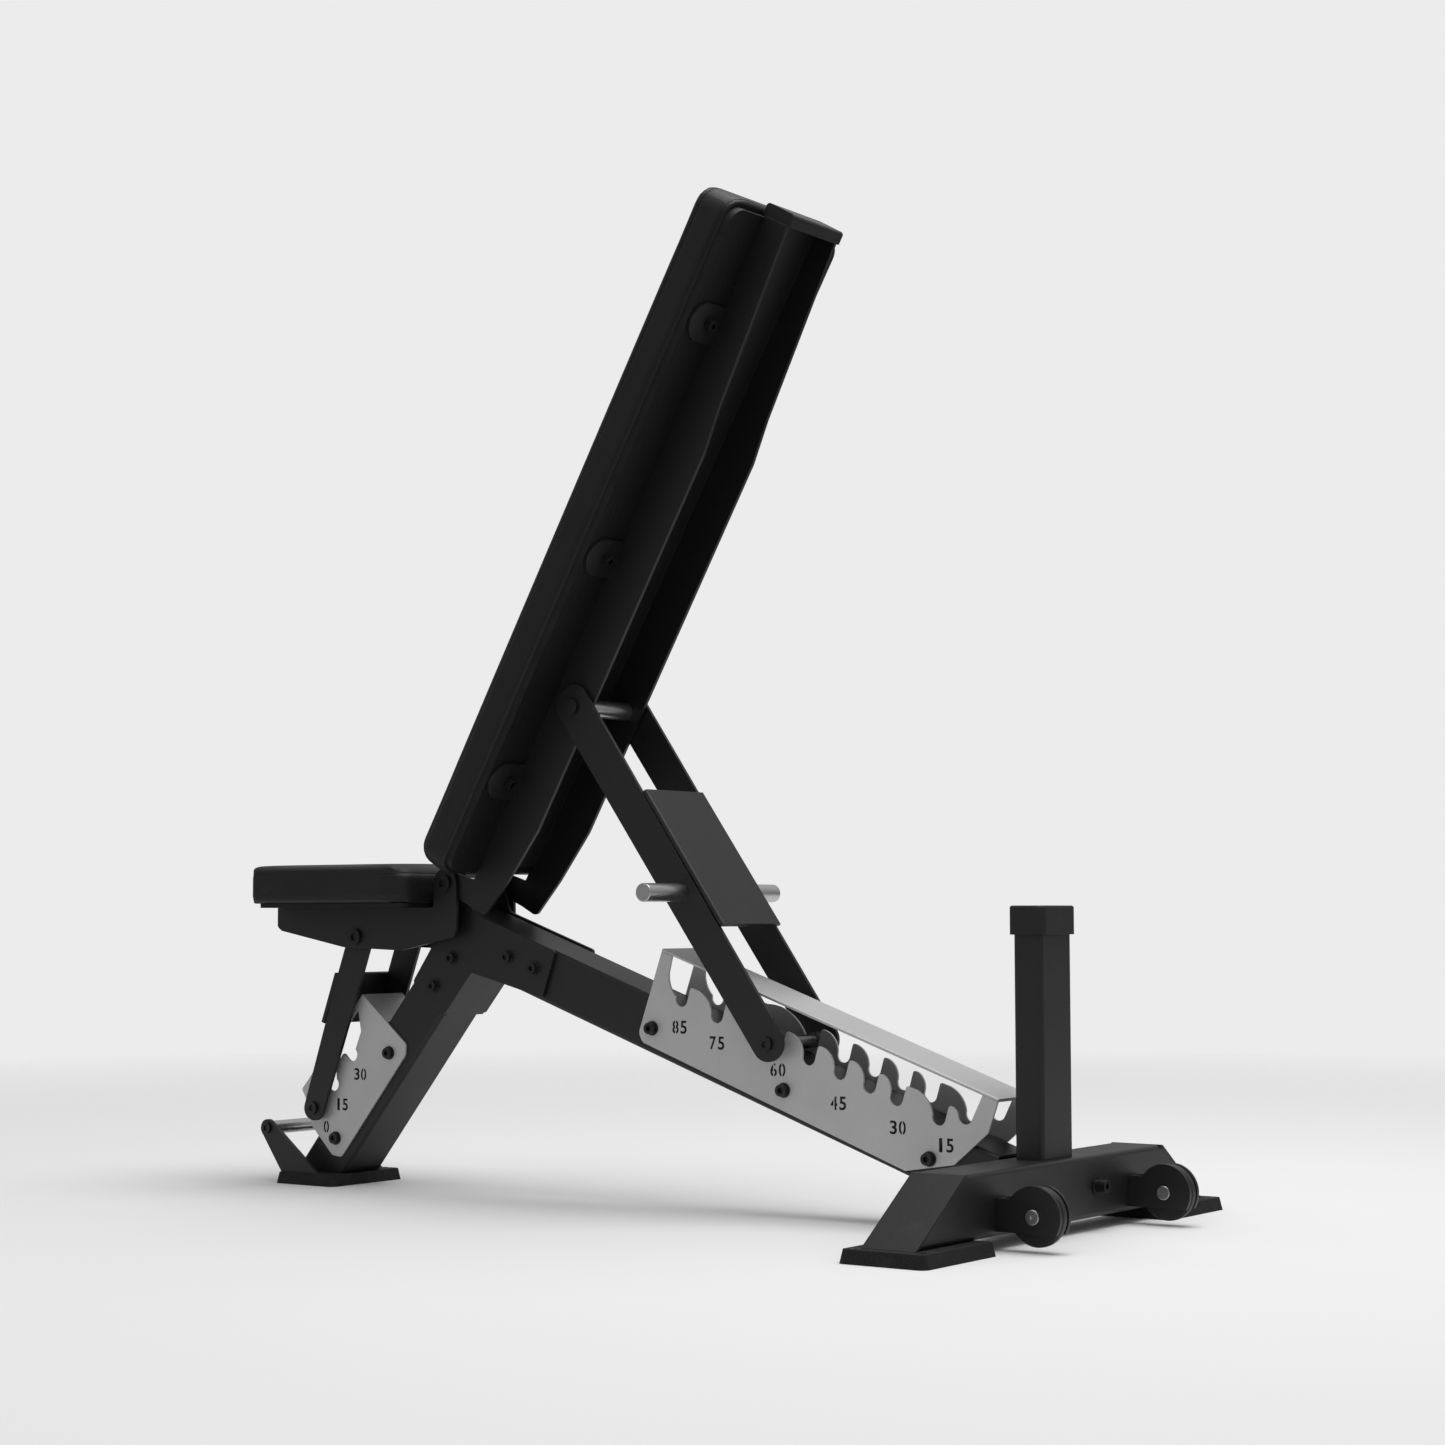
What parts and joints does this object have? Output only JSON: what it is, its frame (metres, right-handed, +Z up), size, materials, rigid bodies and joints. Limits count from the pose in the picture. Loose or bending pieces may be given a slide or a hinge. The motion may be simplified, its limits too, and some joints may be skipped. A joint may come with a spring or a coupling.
{
  "type": "adjustable weight bench",
  "caption": "Adjustable weight bench with a folding backrest and seat, each propped by an arm whose rod rests in a slotted ladder, on a frame with transport wheels.",
  "frame": {"origin": "on the floor under the middle of the bench's outline", "axes": "+X towards the end with the wheels, +Y across the bench, +Z up"},
  "size_m": [1.366, 0.75, 1.3229],
  "materials": {
    "black_vinyl": "grained vinyl over foam",
    "board_black": "black painted plywood",
    "foot_rubber": "matt",
    "cap_plastic": "matt",
    "wheel_plastic": "satin",
    "ladder_silver": "silver powder coat",
    "satin_steel": "satin",
    "black_hardware": "black oxide",
    "black_powder_coat": "fine-texture powder coat"
  },
  "bodies": {
    "frame": {"rear_beam": "black_powder_coat", "rear_beam_caps": "cap_plastic", "upright_post": "black_powder_coat", "post_cap": "cap_plastic", "rear_foot_left": "foot_rubber", "rear_foot_right": "foot_rubber", "front_foot": "foot_rubber", "foot_screws": "black_hardware", "wheel_fork_left": "black_powder_coat", "wheel_fork_right": "black_powder_coat", "wheel_axles": "satin_steel", "beam_bolts": "black_hardware", "spine_tube": "black_powder_coat", "spine_end_plate": "black_powder_coat", "front_leg": "black_powder_coat", "neck_bracket": "black_powder_coat", "neck_bolts": "black_hardware", "rear_ladder_left": "ladder_silver", "rear_ladder_right": "ladder_silver", "rear_ladder_cover": "ladder_silver", "rear_ladder_bolts": "black_hardware", "front_ladder_left": "ladder_silver", "front_ladder_right": "ladder_silver", "front_ladder_cover": "ladder_silver", "front_ladder_bolts": "black_hardware", "handle_bracket_left": "black_powder_coat", "handle_bracket_right": "black_powder_coat", "handle_bar": "satin_steel", "handle_bolts": "black_hardware"},
    "pivot_shaft": {"pivot_tube": "satin_steel", "pivot_spacers": "black_hardware", "pivot_bolts": "black_hardware"},
    "backrest": {"backrest_channel": "black_powder_coat", "backrest_tabs": "black_powder_coat", "backrest_tab_bolts": "black_hardware", "backrest_end_cap": "cap_plastic", "backrest_board": "board_black", "backrest_cushion": "black_vinyl"},
    "arm_shaft": {"arm_spacer_tube": "satin_steel"},
    "prop_arm": {"prop_arm_left": "black_powder_coat", "prop_arm_right": "black_powder_coat", "prop_arm_web": "black_powder_coat", "prop_arm_handle": "satin_steel", "prop_arm_pins": "black_hardware", "locking_rod": "satin_steel", "locking_rod_bolts": "black_hardware"},
    "seat": {"seat_bracket_left": "black_powder_coat", "seat_bracket_right": "black_powder_coat", "seat_board": "board_black", "seat_cushion": "black_vinyl", "seat_arm_shaft": "black_hardware", "seat_arm_bolts": "black_hardware"},
    "seat_arm": {"seat_arm_left": "black_powder_coat", "seat_arm_right": "black_powder_coat", "seat_arm_web": "black_powder_coat", "seat_locking_rod": "satin_steel", "seat_locking_rod_bolts": "black_hardware"},
    "wheel_left": {"wheel_left": "wheel_plastic"},
    "wheel_right": {"wheel_right": "wheel_plastic"}
  },
  "joints": [
    {"name": "backrest_recline", "type": "hinge", "parent": "frame", "child": "pivot_shaft", "pos_m": [-0.337, 0, 0.4275], "axis": [0, -1, 0], "range_deg": [-59.4, 0]},
    {"name": "backrest_raise", "type": "hinge", "parent": "pivot_shaft", "child": "backrest", "pos_m": [-0.337, 0, 0.4275], "axis": [0, -1, 0], "range_deg": [0, 25]},
    {"name": "arm_recline", "type": "hinge", "parent": "backrest", "child": "arm_shaft", "pos_m": [-0.11053, 0, 0.66196], "axis": [0, -1, 0], "range_deg": [0, 92]},
    {"name": "arm_raise", "type": "hinge", "parent": "arm_shaft", "child": "prop_arm", "pos_m": [-0.11053, 0, 0.66196], "axis": [0, -1, 0], "range_deg": [-29.5, 0]},
    {"name": "seat_incline", "type": "hinge", "parent": "frame", "child": "seat", "pos_m": [-0.337, 0, 0.4275], "axis": [0, 1, 0], "range_deg": [0, 30]},
    {"name": "seat_arm_hinge", "type": "hinge", "parent": "seat", "child": "seat_arm", "pos_m": [-0.503, 0, 0.353], "axis": [0, -1, 0], "range_deg": [0, 49]},
    {"name": "wheel_left_spin", "type": "hinge", "parent": "frame", "child": "wheel_left", "pos_m": [0.648, -0.165, 0.041], "axis": [0, 1, 0], "continuous": true},
    {"name": "wheel_right_spin", "type": "hinge", "parent": "frame", "child": "wheel_right", "pos_m": [0.648, 0.165, 0.041], "axis": [0, 1, 0], "continuous": true}
  ],
  "couplings": [
    {"joint": "arm_recline", "follows": "backrest_recline", "ratio": -1.53},
    {"joint": "arm_raise", "follows": "backrest_raise", "ratio": -1.15},
    {"joint": "seat_arm_hinge", "follows": "seat_incline", "ratio": 1.59}
  ]
}
